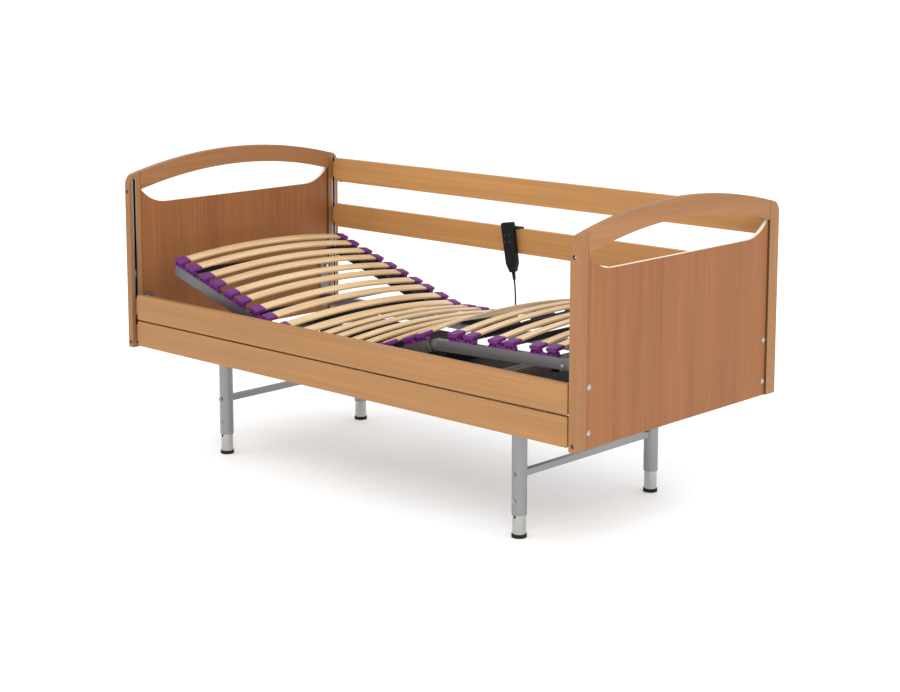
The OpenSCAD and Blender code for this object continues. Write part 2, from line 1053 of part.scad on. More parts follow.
module leg_braces() {
    color(steel)
    for (x = [-leg_head_x, leg_foot_x])
        difference() {
            translate([x, 0, 0])
                rotate([0, 0, 90])
                    tube_x(-leg_y, leg_y, 0, brace_w, brace_z - brace_w / 2, brace_z + brace_w / 2);
            for (s = sides)
                translate([x, s * leg_y, 0])
                    cylinder(d = leg_d, h = 2 * brace_z);
        }
}

// Bolts through sleeve and brace, above the inner tubes' tops
module brace_bolts() {
    color(steel)
    leg_places() {
        rod_y(0, brace_z, pin_hole_d, -leg_d / 2 - 30, leg_d / 2);
        rod_y(0, brace_z, 14, leg_d / 2, leg_d / 2 + 5);
    }
}

// Inner tube with its lock slot, and the rubber foot that caps it
module inner_leg(x, s) {
    translate([x, s * leg_y, 0])
        mirror([0, s < 0 ? 1 : 0, 0]) {
            color(steel)
            difference() {
                translate([0, 0, foot_wall])
                    cylinder(d = inner_d, h = leg_top - foot_wall);
                translate([0, 0, foot_wall - 1])
                    cylinder(d = inner_d - 2 * leg_wall, h = leg_top);
                for (k = [-1, 1])
                    rod_y(0, pin_z + k * hole_pitch, pin_hole_d, 0, leg_d);
                translate([-pin_hole_d / 2, 0, pin_z - hole_pitch])
                    cube([pin_hole_d, leg_d, 2 * hole_pitch]);
            }
            color(black) {
                cylinder(d = inner_d, h = foot_wall);
                difference() {
                    cylinder(d = inner_d + 2 * foot_wall, h = foot_h);
                    translate([0, 0, -1])
                        cylinder(d = inner_d, h = foot_h + 2);
                }
            }
        }
}

// Sprung lock button through the sleeve's wall into the slot, on the bed's outer side
module lock_pin(x, s) {
    color(steel)
    translate([x, s * leg_y, 0])
        mirror([0, s < 0 ? 1 : 0, 0]) {
            rod_y(0, pin_z, lock_d, inner_d / 2 - 4, leg_d / 2 + 1);
            rod_y(0, pin_z, lock_d + 4, leg_d / 2 + gap, leg_d / 2 + 3);
        }
}

// ---- Hand control: drawn hanging from its hook, with the cord's end down ----

module hang() {
    translate([handset_x, handset_y, handset_top])
        rotate([0, -handset_a, 0])
            children();
}

module handset() {
    color(black)
    hang()
    difference() {
        hull() {
            for (x = [-1, 1]) {
                translate([x * (handset_w / 2 - handset_r), 0, -handset_r])
                    handset_edge();
                translate([x * (handset_low_w / 2 - handset_r), 0, -handset_l + 34])
                    handset_edge();
                translate([x * (handset_end_w / 2 - handset_r), 0, -handset_l + handset_r])
                    handset_edge();
            }
        }
        for (x = key_cols, z = key_rows)
            rod_y(x, z, key_d + 2 * gap, -handset_t / 2 - 1, -handset_t / 2 + key_deep + key_travel + gap);
    }
}

module handset_edge() {
    rotate([90, 0, 0])
        cylinder(r = handset_r, h = handset_t - 6, center = true, $fn = 32);
    rotate([90, 0, 0])
        cylinder(r = handset_r - 3, h = handset_t, center = true, $fn = 32);
}

// Key i: columns are up and down, rows are back and legs
module key(col, row) {
    color(dark)
    hang()
        rod_y(key_cols[col], key_rows[row], key_d, -handset_t / 2 - key_out, -handset_t / 2 + key_deep);
}

// Clip on the hand control's back, over the rail's top edge
module handset_hook() {
    back_y = handset_y + handset_t / 2;
    rail_in = rail_y - rail_t / 2;
    over = lower_z + rail_h;
    x0 = handset_x - clip_w / 2;
    color(black) {
        translate([x0, back_y, over - 30])
            cube([clip_w, rail_in - back_y, 30 + hook_rise]);
        translate([x0, back_y, over])
            cube([hook_w, rail_in - back_y + rail_t + hook_t, hook_rise]);
        translate([x0, rail_in + rail_t, over - 18])
            cube([hook_w, hook_t, 18]);
    }
}

module handset_gland() {
    color(black)
    hang()
        translate([0, 0, -handset_l - gland_l])
            difference() {
                cylinder(d1 = 10, d2 = 14, h = gland_l);
                translate([0, 0, -1])
                    cylinder(d = cord_d + 2 * gap, h = gland_bore + 1);
            }
}

// ---- Cord ----

// Catmull-Rom curve through the cord's points, sampled at a steady spacing
function spline(a, b, c, d, t) =
    0.5 * (2 * b + (c - a) * t + (2 * a - 5 * b + 4 * c - d) * t * t
        + (3 * b - a - 3 * c + d) * t * t * t);
function unit(v) = v / norm(v);
cord_last = len(cord_pts) - 1;
cord_path = [
    for (i = [0:cord_last - 1])
        let (n = max(1, round(norm(cord_pts[i + 1] - cord_pts[i]) / cord_step)))
            for (k = [0:n - 1])
                spline(cord_pts[max(i - 1, 0)], cord_pts[i], cord_pts[i + 1],
                    cord_pts[min(i + 2, cord_last)], k / n),
    cord_pts[cord_last]
];
cord_n = len(cord_path);
function cord_dir(i) = i == 0 ? unit(cord_path[1] - cord_path[0])
    : i == cord_n - 1 ? [0, -1, 0]
    : unit(cord_path[i + 1] - cord_path[i - 1]);

// Each ring's side vector is the one before it, turned square to the new direction
function carry(i, v) = let (t = cord_dir(i)) unit(v - (v * t) * t);
cord_sidev = [
    for (i = 0, v = carry(0, [0, 1, 0]); i < cord_n; i = i + 1, v = i < cord_n ? carry(i, v) : v) v
];

module handset_cord() {
    points = [
        for (i = [0:cord_n - 1], k = [0:cord_sides - 1])
            let (t = cord_dir(i), u = cord_sidev[i], w = cross(t, u), a = 360 * k / cord_sides)
                cord_path[i] + cord_d / 2 * (cos(a) * u + sin(a) * w)
    ];
    walls = [
        for (i = [0:cord_n - 2], k = [0:cord_sides - 1])
            let (a = i * cord_sides + k, b = i * cord_sides + (k + 1) % cord_sides)
                [b, a, a + cord_sides, b + cord_sides]
    ];
    first_cap = [for (k = [0:cord_sides - 1]) k];
    last_cap = [for (k = [cord_sides - 1:-1:0]) (cord_n - 1) * cord_sides + k];
    color(black)
        polyhedron(points = points, faces = concat([first_cap], walls, [last_cap]));
}

posts(-1);  // head_posts
arch(-1);  // head_arch
panel(-1);  // head_panel
posts(1);  // foot_posts
arch(1);  // foot_arch
panel(1);  // foot_panel
arch_dowels();
post_screws();
guide_channels();
catch_springs();
side_beams();
cross_beams();
frame_bolts();
carrier_rails();
seat_profiles();
seat_rails();
seat_holders();
seat_slats();
leg_sleeves();
leg_braces();
brace_bolts();
inner_leg(-leg_head_x, -1);  // leg_head_near
inner_leg(-leg_head_x, 1);  // leg_head_far
inner_leg(leg_foot_x, -1);  // leg_foot_near
inner_leg(leg_foot_x, 1);  // leg_foot_far
lock_pin(-leg_head_x, -1);  // pin_head_near
lock_pin(-leg_head_x, 1);  // pin_head_far
lock_pin(leg_foot_x, -1);  // pin_foot_near
lock_pin(leg_foot_x, 1);  // pin_foot_far
back_profiles();
back_frame();
back_holders();
back_slats();
thigh_profiles();
thigh_frame();
thigh_holders();
thigh_slats();
calf_profiles();
calf_frame();
calf_holders();
calf_slats();
strut();
strut_shaft();
drive_housing();
drive_lid();
control_box();
side_rail(nest_upper, -1, true);  // near_upper_rail
side_rail(nest_lower, -1, false);  // near_lower_rail
side_rail(upper_z, 1, true);  // far_upper_rail
side_rail(lower_z, 1, false);  // far_lower_rail
latch(nest_upper, -1);  // near_latch
latch(upper_z, 1);  // far_latch
handset();
handset_hook();
handset_gland();
handset_cord();
key(0, 0);  // key_back_up
key(1, 0);  // key_back_down
key(0, 1);  // key_legs_up
key(1, 1);  // key_legs_down
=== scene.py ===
import json
import math

import bmesh
import bpy
from mathutils import Matrix, Vector


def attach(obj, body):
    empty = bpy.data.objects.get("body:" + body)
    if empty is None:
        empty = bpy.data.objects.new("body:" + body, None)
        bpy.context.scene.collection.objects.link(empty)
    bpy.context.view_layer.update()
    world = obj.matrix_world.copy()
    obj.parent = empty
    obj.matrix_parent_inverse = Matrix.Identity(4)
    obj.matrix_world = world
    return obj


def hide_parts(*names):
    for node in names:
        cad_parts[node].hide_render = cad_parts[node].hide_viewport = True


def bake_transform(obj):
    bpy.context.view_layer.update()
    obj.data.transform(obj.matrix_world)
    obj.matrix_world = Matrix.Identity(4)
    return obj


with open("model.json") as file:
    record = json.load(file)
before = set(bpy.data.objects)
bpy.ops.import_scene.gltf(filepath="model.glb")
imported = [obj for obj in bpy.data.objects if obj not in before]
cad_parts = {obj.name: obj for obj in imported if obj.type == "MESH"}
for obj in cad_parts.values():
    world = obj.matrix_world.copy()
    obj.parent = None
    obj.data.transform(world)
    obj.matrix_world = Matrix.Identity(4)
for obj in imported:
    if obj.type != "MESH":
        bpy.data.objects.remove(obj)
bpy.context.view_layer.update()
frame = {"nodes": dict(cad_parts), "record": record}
scene = bpy.context.scene
scene.view_settings.view_transform = "Standard"
JOINTS = {j["name"]: j for j in frame["record"]["behaviour"]["joints"]}
NODES = frame["nodes"]
X, Y, Z = 0, 1, 2

# ---------------------------------------------------------------- camera
# Fitted to points read from the photo, in its pixels.

PHOTO_W = 900
FOCAL_PX = 1825.253
CENTRE_ROW, HALF_ROWS = 230, 346
EYE = Vector((4.229, -4.41298, 1.77811))
YAW, PITCH_DOWN, ROLL = 0.75526, 0.15143, 0.0004
SENSOR = 36


def make_camera():
    level = Vector((-math.sin(YAW), math.cos(YAW), 0)) * math.cos(PITCH_DOWN)
    fwd = level - Vector((0, 0, math.sin(PITCH_DOWN)))
    right = Vector((math.cos(YAW), math.sin(YAW), 0))
    up = right.cross(fwd)
    r = right * math.cos(ROLL) + up * math.sin(ROLL)
    u = up * math.cos(ROLL) - right * math.sin(ROLL)
    cam = bpy.data.objects.new("camera", bpy.data.cameras.new("camera"))
    scene.collection.objects.link(cam)
    cam.matrix_world = Matrix((
        (r.x, u.x, -fwd.x, EYE.x), (r.y, u.y, -fwd.y, EYE.y),
        (r.z, u.z, -fwd.z, EYE.z), (0, 0, 0, 1)))
    cam.data.sensor_width = SENSOR
    cam.data.lens = SENSOR * FOCAL_PX / PHOTO_W
    cam.data.shift_y = (CENTRE_ROW - HALF_ROWS) / PHOTO_W
    cam.data.clip_start = 0.1
    cam.data.clip_end = 260
    scene.camera = cam


make_camera()

# ---------------------------------------------------------------- mesh helpers

def link(name, bm, mat, smooth=35):
    bmesh.ops.recalc_face_normals(bm, faces=bm.faces)
    me = bpy.data.meshes.new(name)
    bm.to_mesh(me)
    bm.free()
    ob = bpy.data.objects.new(name, me)
    scene.collection.objects.link(ob)
    me.materials.append(mat)
    shade(ob, smooth)
    return ob


def shade(ob, angle=35):
    me = ob.data
    me.polygons.foreach_set("use_smooth", [True] * len(me.polygons))
    me.set_sharp_from_angle(angle=math.radians(angle))


def bevel(ob, width, segments=3, angle=35):
    m = ob.modifiers.new("bevel", "BEVEL")
    m.width = width
    m.segments = segments
    m.limit_method = "ANGLE"
    m.angle_limit = math.radians(angle)
    m.harden_normals = True
    m.use_clamp_overlap = True
    return ob


def add_box(bm, lo, hi):
    vs = []
    for z in (lo[2], hi[2]):
        for x, y in ((lo[0], lo[1]), (hi[0], lo[1]), (hi[0], hi[1]), (lo[0], hi[1])):
            vs.append(bm.verts.new((x, y, z)))
    for f in ((3, 2, 1, 0), (4, 5, 6, 7), (0, 1, 5, 4),
              (1, 2, 6, 5), (2, 3, 7, 6), (3, 0, 4, 7)):
        bm.faces.new([vs[i] for i in f])


def add_prism(bm, pts, a, b, m):
    """Closed outline pts (u, v) swept from depth a to b; m takes (u, v, depth) to the frame."""
    rings = []
    for d in (a, b):
        rings.append([bm.verts.new(m @ Vector((u, v, d))) for u, v in pts])
    n = len(pts)
    bm.faces.new(rings[0][::-1])
    bm.faces.new(rings[1])
    for i in range(n):
        j = (i + 1) % n
        bm.faces.new((rings[0][i], rings[0][j], rings[1][j], rings[1][i]))


def rounded(w, h, r, n=4):
    pts = []
    for cx, cy, a0 in ((w / 2 - r, h / 2 - r, 0), (-w / 2 + r, h / 2 - r, 90),
                       (-w / 2 + r, -h / 2 + r, 180), (w / 2 - r, -h / 2 + r, 270)):
        for k in range(n + 1):
            a = math.radians(a0 + 90 * k / n)
            pts.append((cx + r * math.cos(a), cy + r * math.sin(a)))
    return pts

# ---------------------------------------------------------------- materials

class Nodes:
    def __init__(self, name, **values):
        self.mat = bpy.data.materials.new(name)
        self.mat.use_nodes = True
        self.t = self.mat.node_tree
        self.b = self.t.nodes["Principled BSDF"]
        for k, v in values.items():
            self.b.inputs[k.replace("_", " ")].default_value = v

    def add(self, kind, **values):
        n = self.t.nodes.new(kind)
        for k, v in values.items():
            if k in n.inputs:
                n.inputs[k].default_value = v
            else:
                setattr(n, k, v)
        return n

    def link(self, a, b):
        self.t.links.new(a, b)

    def coords(self, scale):
        tc = self.add("ShaderNodeTexCoord")
        mp = self.add("ShaderNodeMapping")
        mp.inputs["Scale"].default_value = scale
        self.link(tc.outputs["Object"], mp.inputs["Vector"])
        return mp.outputs["Vector"]

    def noise(self, vec, scale, detail=4, rough=0.6, distort=0.0):
        n = self.add("ShaderNodeTexNoise", Scale=scale, Detail=detail, Roughness=rough,
                     Distortion=distort)
        self.link(vec, n.inputs["Vector"])
        return n.outputs["Fac"]

    def ramp(self, fac, stops):
        n = self.add("ShaderNodeValToRGB")
        el = n.color_ramp.elements
        while len(el) < len(stops):
            el.new(0.5)
        for e, (p, c) in zip(el, stops):
            e.position = p
            e.color = (*c, 1)
        self.link(fac, n.inputs["Fac"])
        return n.outputs["Color"]

    def mix(self, a, b, fac, blend="MIX"):
        n = self.add("ShaderNodeMix", data_type="RGBA", blend_type=blend)
        for sock, v in ((n.inputs[0], fac), (n.inputs[6], a), (n.inputs[7], b)):
            if isinstance(v, (int, float)):
                sock.default_value = v
            elif isinstance(v, tuple):
                sock.default_value = (*v, 1)
            else:
                self.link(v, sock)
        return n.outputs[2]

    def maprange(self, v, a, b, c, d):
        n = self.add("ShaderNodeMapRange")
        for i, q in zip((1, 2, 3, 4), (a, b, c, d)):
            n.inputs[i].default_value = q
        self.link(v, n.inputs[0])
        return n.outputs[0]

    def bump(self, height, strength, distance):
        n = self.add("ShaderNodeBump", Strength=strength, Distance=distance)
        self.link(height, n.inputs["Height"])
        self.link(n.outputs["Normal"], self.b.inputs["Normal"])


def srgb(r, g, b):
    def f(c):
        c /= 255
        return c / 12.92 if c <= 0.04045 else ((c + 0.055) / 1.055) ** 2.4
    return (f(r), f(g), f(b))


def joint_and_gap_shade_line(n, axis, place, width, depth):
    """A factor of 1 away from the plane and depth at it: a fine dark line where two pieces meet,
    partly their joint and partly painted shade in the gap between them.
    """
    tc = n.add("ShaderNodeTexCoord")
    xyz = n.add("ShaderNodeSeparateXYZ")
    n.link(tc.outputs["Object"], xyz.inputs[0])
    away = xyz.outputs[axis]
    for op, value in (("ABSOLUTE", 0), ("SUBTRACT", place), ("ABSOLUTE", 0)):
        m = n.add("ShaderNodeMath", operation=op)
        m.inputs[1].default_value = value
        n.link(away, m.inputs[0])
        away = m.outputs[0]
    return n.maprange(away, width * 0.4, width, depth, 1.0)


def wood(name, col, grain, contrast=0.10, flecks=0.25, rough=0.5, fine=0.6, joint=None):
    """Lacquered wood with its grain along one axis: a soft figure, fine fibre and darker flecks.

    joint is (place, width, depth) of the line where posts meet arch and panel, or None. The line is
    partly the dark joint and partly painted shade in the gap where the posts stand proud.
    """
    n = Nodes(name, Roughness=rough, Specular_IOR_Level=0.3, Coat_Weight=0.04, Coat_Roughness=0.3)
    along_across = ((0.5, 11.0), (1.6, 150.0), (22.0, 420.0))
    wide, fine_grain, short = [tuple(a if i == grain else b for i in range(3))
                               for a, b in along_across]
    figure = n.noise(n.coords(wide), 1.0, 5, 0.6, 0.5)
    fibre = n.noise(n.coords(fine_grain), 1.0, 4, 0.65)
    fleck = n.noise(n.coords(short), 1.0, 2, 0.5)
    light = tuple(c * (1 + contrast) for c in col)
    dark = tuple(c * (1 - contrast * k) for c, k in zip(col, (0.9, 1.3, 1.5)))
    base = n.ramp(figure, ((0.32, dark), (0.5, col), (0.68, light)))
    base = n.mix(base, n.ramp(fibre, ((0.35, (0.84,) * 3), (0.65, (1.1,) * 3))), fine, "MULTIPLY")
    base = n.mix(base, n.ramp(fleck, ((0.62, (1, 1, 1)), (0.74, (0.66,) * 3))), flecks, "MULTIPLY")
    # Darkens the line where the pieces meet: partly a dark joint, partly painted shade in the gap.
    if joint:
        base = n.mix(base, joint_and_gap_shade_line(n, Y, *joint), 1.0, "MULTIPLY")
    n.link(base, n.b.inputs["Base Color"])
    n.link(n.maprange(fibre, 0.3, 0.7, rough - 0.05, rough + 0.07), n.b.inputs["Roughness"])
    n.bump(fibre, 0.06, 0.0004)
    return n.mat


POST_IN = 0.457  # the posts' inner side, where arches and panels meet them
# The far rails are lighter than the near ones only to match the light in the photo.
M_RAIL = wood("beech_rail", (0.355, 0.175, 0.061), X)
M_FAR_RAIL_PAINTED_LIGHT = wood("beech_far_rail_painted_light", (0.48, 0.236, 0.078), X)
M_POST = wood("beech_post", (0.295, 0.138, 0.051), Z, 0.12, joint=(POST_IN, 0.0016, 0.35))
M_ARCH = wood("beech_arch", (0.310, 0.140, 0.051), Y, 0.14, joint=(POST_IN, 0.0016, 0.35))
# The panel's wider dark line at the posts is painted shade beside the proud posts, as well as the
# joint.
M_PANEL = wood("veneer_panel", (0.268, 0.100, 0.030), Z, 0.12, 0.3, fine=0.95,
               joint=(POST_IN, 0.003, 0.3))
M_BAND = wood("panel_edge", (0.78, 0.70, 0.60), Y, 0.05, 0.1)
M_STOP = wood("stop_beech", (0.46, 0.24, 0.09), Z)


def slat_wood():
    """Glued slats: pale beech on top, with the plies' lines on the faces marked as sides."""
    n = Nodes("slat_beech", Roughness=0.38, Coat_Weight=0.2, Coat_Roughness=0.2)
    figure = n.noise(n.coords((14, 1.2, 14)), 1.0, 5, 0.6, 0.5)
    fibre = n.noise(n.coords((260, 4, 260)), 1.0, 3, 0.6)
    fleck = n.noise(n.coords((520, 40, 520)), 1.0, 2, 0.5)
    base = n.ramp(figure, ((0.3, srgb(198, 160, 110)), (0.5, srgb(214, 180, 132)),
                           (0.7, srgb(226, 198, 154))))
    streak = n.ramp(fibre, ((0.35, (0.84,) * 3), (0.65, (1.04,) * 3)))
    col = n.mix(base, streak, 0.5, "MULTIPLY")
    dots = n.ramp(fleck, ((0.62, (1, 1, 1)), (0.75, (0.7,) * 3)))
    col = n.mix(col, dots, 0.5, "MULTIPLY")
    ply = n.add("ShaderNodeAttribute", attribute_name="ply")
    saw = n.add("ShaderNodeMath", operation="FRACT")
    n.link(ply.outputs["Fac"], saw.inputs[0])
    lines = n.ramp(saw.outputs[0], ((0.0, (0.42, 0.36, 0.30)), (0.16, (1, 1, 1)),
                                    (0.5, (1, 1, 1)), (0.54, (0.8, 0.76, 0.7))))
    side = n.add("ShaderNodeAttribute", attribute_name="side")
    col = n.mix(col, n.mix(col, lines, 1.0, "MULTIPLY"), side.outputs["Fac"])
    n.link(col, n.b.inputs["Base Color"])
    n.bump(fibre, 0.08, 0.0004)
    return n.mat


def metal(name, col, rough, metallic, grain, amount):
    """Coated or plated metal: broad shifts of tone, and a fine grain in its shine."""
    n = Nodes(name, Metallic=metallic, Roughness=rough)
    v = n.noise(n.coords((grain, grain, grain)), 1.0, 5, 0.7)
    wide = n.noise(n.coords((5, 5, 5)), 1.0, 3, 0.5)
    c0 = tuple(x * (1 - amount) for x in col)
    c1 = tuple(min(1, x * (1 + amount)) for x in col)
    n.link(n.ramp(wide, ((0.3, c0), (0.7, c1))), n.b.inputs["Base Color"])
    n.link(n.maprange(v, 0.3, 0.7, max(0.03, rough - 0.06), rough + 0.07), n.b.inputs["Roughness"])
    n.bump(v, 0.05, 0.0004)
    return n.mat


def plastic(name, col, rough, grain=900.0, strength=0.12):
    """Moulded plastic, rubber or powder coat with a fine grain."""
    n = Nodes(name, Roughness=rough, Specular_IOR_Level=0.18)
    v = n.noise(n.coords((grain, grain, grain)), 1.0, 3, 0.6)
    wide = n.noise(n.coords((12, 12, 12)), 1.0, 3, 0.5)
    c0, c1 = tuple(x * 0.84 for x in col), tuple(x * 1.14 for x in col)
    n.link(n.ramp(wide, ((0.3, c0), (0.7, c1))), n.b.inputs["Base Color"])
    n.link(n.maprange(v, 0.3, 0.7, rough - 0.06, rough + 0.08), n.b.inputs["Roughness"])
    n.bump(v, strength, 0.0004)
    return n.mat


M_SLAT = slat_wood()
M_PURPLE = plastic("holder_rubber", srgb(104, 42, 112), 0.45, 500.0, 0.1)
M_SILVER = metal("silver_coat", srgb(112, 112, 114), 0.4, 0.8, 400.0, 0.05)
M_LEG = metal("leg_coat", srgb(142, 142, 144), 0.34, 0.75, 300.0, 0.04)
M_CHROME = metal("chrome", srgb(178, 178, 175), 0.12, 1.0, 80.0, 0.03)
M_ZINC = metal("zinc", srgb(160, 160, 162), 0.34, 1.0, 20.0, 0.03)
M_BLACK = plastic("black_coat", srgb(17, 18, 20), 0.6)
M_PLASTIC = plastic("black_plastic", srgb(15, 15, 17), 0.6)
M_HANDSET = plastic("handset_plastic", srgb(20, 21, 24), 0.5)
M_KEY = plastic("key_plastic", srgb(40, 60, 80), 0.5)
M_RUBBER = plastic("foot_rubber", srgb(26, 26, 27), 0.6)
M_CORD = plastic("cord_rubber", srgb(28, 28, 30), 0.5)

SLOT_MATS = {
    "beech": M_POST, "veneer": M_PANEL, "slat_beech": M_SLAT, "holder_rubber": M_PURPLE,
    "chrome_leg": M_CHROME, "zinc": M_ZINC, "silver_steel": M_SILVER, "black_steel": M_BLACK,
    "black_plastic": M_PLASTIC, "key_plastic": M_KEY, "cord_rubber": M_CORD,
}
# Nodes that look different from the rest of their slot.
OWN_MATS = {
    "head_arch": M_ARCH, "foot_arch": M_ARCH, "near_upper_rail": M_RAIL, "near_lower_rail": M_RAIL,
    "far_upper_rail": M_FAR_RAIL_PAINTED_LIGHT, "far_lower_rail": M_FAR_RAIL_PAINTED_LIGHT, "catch_springs": M_STOP,
    "handset": M_HANDSET, "leg_sleeves": M_LEG, "leg_braces": M_LEG, "brace_bolts": M_LEG,
    "side_beams": M_SILVER, "strut_shaft": M_SILVER, "frame_bolts": M_CHROME,
    "post_screws": M_CHROME,
}
for sub in frame["record"]["subparts"]:
    ob = NODES[sub["node"]]
    mat = OWN_MATS.get(sub["node"], SLOT_MATS[sub["material_slot"]])
    ob.data.materials.clear()
    ob.data.materials.append(mat)


def paint(ob, mat, test):
    """Gives mat to the faces whose centre and normal, in the frame, pass the test."""
    ob.data.materials.append(mat)
    m = ob.matrix_world
    turn = m.to_3x3()
    for p in ob.data.polygons:
        if test(m @ p.center, turn @ p.normal):
            p.material_index = len(ob.data.materials) - 1


FOOT_TOP = 0.0115  # top of the rubber feet
PANEL_EDGE = 0.88  # the panels' banded upper edges lie above this
CHANNEL_IN = (1.0172, 1.0258)  # the inside of the guide channels, along the bed
PIN_END, STUD_END = 0.4045, 0.4052  # knee pins and studs stand out past these

for leg in ("leg_head_near", "leg_head_far", "leg_foot_near", "leg_foot_far"):
    paint(NODES[leg], M_RUBBER, lambda c, n: c.z < FOOT_TOP)
for board in ("head_panel", "foot_panel"):
    paint(NODES[board], M_BAND, lambda c, n: c.z > PANEL_EDGE and abs(n.x) < 0.5)
# The inside of the guide channels is painted black as painted shade in the slot, giving the channel
# its dark centre line.
paint(NODES["guide_channels"], M_BLACK, lambda c, n: CHANNEL_IN[0] < abs(c.x) < CHANNEL_IN[1])
paint(NODES["calf_frame"], M_ZINC, lambda c, n: abs(c.y) > PIN_END)
for node in ("thigh_profiles", "calf_profiles"):
    paint(NODES[node], M_CHROME, lambda c, n: abs(c.y) > STUD_END)

# ---------------------------------------------------------------- slats and holders
# Metres, in a section's own axes. Slats are bowed up by CROWN on an arc of SLAT_R.

SLAT_W, SLAT_T, CROWN = 0.035, 0.008, 0.028
SLAT_EDGE, PLIES, SLAT_STEPS = 0.0022, 7, 40
PITCH, SLEEVE_W, SLEEVE_H = 0.0645, 0.040, 0.0128  # PITCH: from a slat to the other of its pair
HOLDER_Y, HOLDER_L, PROF_TOP, LIFT = 0.409, 0.043, 0.0175, 0.0205
SLAT_END = HOLDER_Y - 0.008
SLAT_R = (SLAT_END ** 2 + CROWN ** 2) / (2 * CROWN)
SLAT_CZ = PROF_TOP + LIFT + CROWN - SLAT_R


def section(joint, sign, angle):
    """Matrix from a section's own axes (along it, across the bed, square to it) to the frame."""
    o = Vector(JOINTS[joint]["pos_m"])
    a = math.radians(angle)
    u = Vector((sign * math.cos(a), 0, math.sin(a)))
    n = Vector((-sign * math.sin(a), 0, math.cos(a)))
    return Matrix(((u.x, 0, n.x, o.x), (u.y, 1, n.y, o.y), (u.z, 0, n.z, o.z), (0, 0, 0, 1)))


BACK_A = -JOINTS["back_hinge"]["range_deg"][0]
THIGH_A = -JOINTS["thigh_hinge"]["range_deg"][0]
CALF_SHARE = 0.1141  # the lower leg section's drawn angle over the thigh's
BACK_STEP, LEG_STEP = 0.140, 0.166  # from one pair of slats to the next
BACK_FIRST, THIGH_FIRST, CALF_FIRST = 0.6674, 0.0497, 0.0586
HINGE_Z = JOINTS["back_hinge"]["pos_m"][2]
# Name: matrix to the frame, body, and where each pair's holders start along the section.
SECTIONS = {
    "back": (section("back_hinge", -1, BACK_A), "back_section",
             [BACK_FIRST - SLEEVE_W - PITCH - k * BACK_STEP for k in range(5)]),
    "seat": (Matrix.Translation((0, 0, HINGE_Z)), "bed_frame", [-0.217, -0.077]),
    "thigh": (section("thigh_hinge", 1, THIGH_A), "thigh_section",
              [THIGH_FIRST + k * LEG_STEP for k in range(2)]),
    "calf": (section("knee_hinge", 1, THIGH_A * CALF_SHARE), "calf_section",
             [CALF_FIRST + k * LEG_STEP for k in range(3)]),
}


def make_slats(name, m, firsts):
    bm = bmesh.new()
    ply = bm.verts.layers.float.new("ply")
    side = bm.verts.layers.float.new("side")
    t, r = SLAT_T / 2, SLAT_EDGE
    c = r * 0.3
    for f in firsts:
        for k in (0, 1):
            s0 = f + k * PITCH + (SLEEVE_W - SLAT_W) / 2
            s1 = s0 + SLAT_W
            loop = [(s0 + r, t, 0), (s1 - r, t, 0), (s1 - c, t - c, 0), (s1, t - r, 1),
                    (s1, -t + r, 1), (s1 - c, -t + c, 0), (s1 - r, -t, 0), (s0 + r, -t, 0),
                    (s0 + c, -t + c, 0), (s0, -t + r, 1), (s0, t - r, 1), (s0 + c, t - c, 0)]
            rings = []
            for i in range(SLAT_STEPS + 1):
                a = math.asin(SLAT_END / SLAT_R) * (2 * i / SLAT_STEPS - 1)
                ring = []
                for s, h, sd in loop:
                    rr = SLAT_R + h
                    v = bm.verts.new(m @ Vector((s, rr * math.sin(a), SLAT_CZ + rr * math.cos(a))))
                    v[ply] = (h + t) / SLAT_T * PLIES
                    v[side] = sd
                    ring.append(v)
                rings.append(ring)
            n = len(loop)
            for p, q in zip(rings, rings[1:]):
                for j in range(n):
                    bm.faces.new((p[j], p[(j + 1) % n], q[(j + 1) % n], q[j]))
            bm.faces.new(rings[0][::-1])
            bm.faces.new(rings[-1])
    return link(name, bm, M_SLAT, 40)


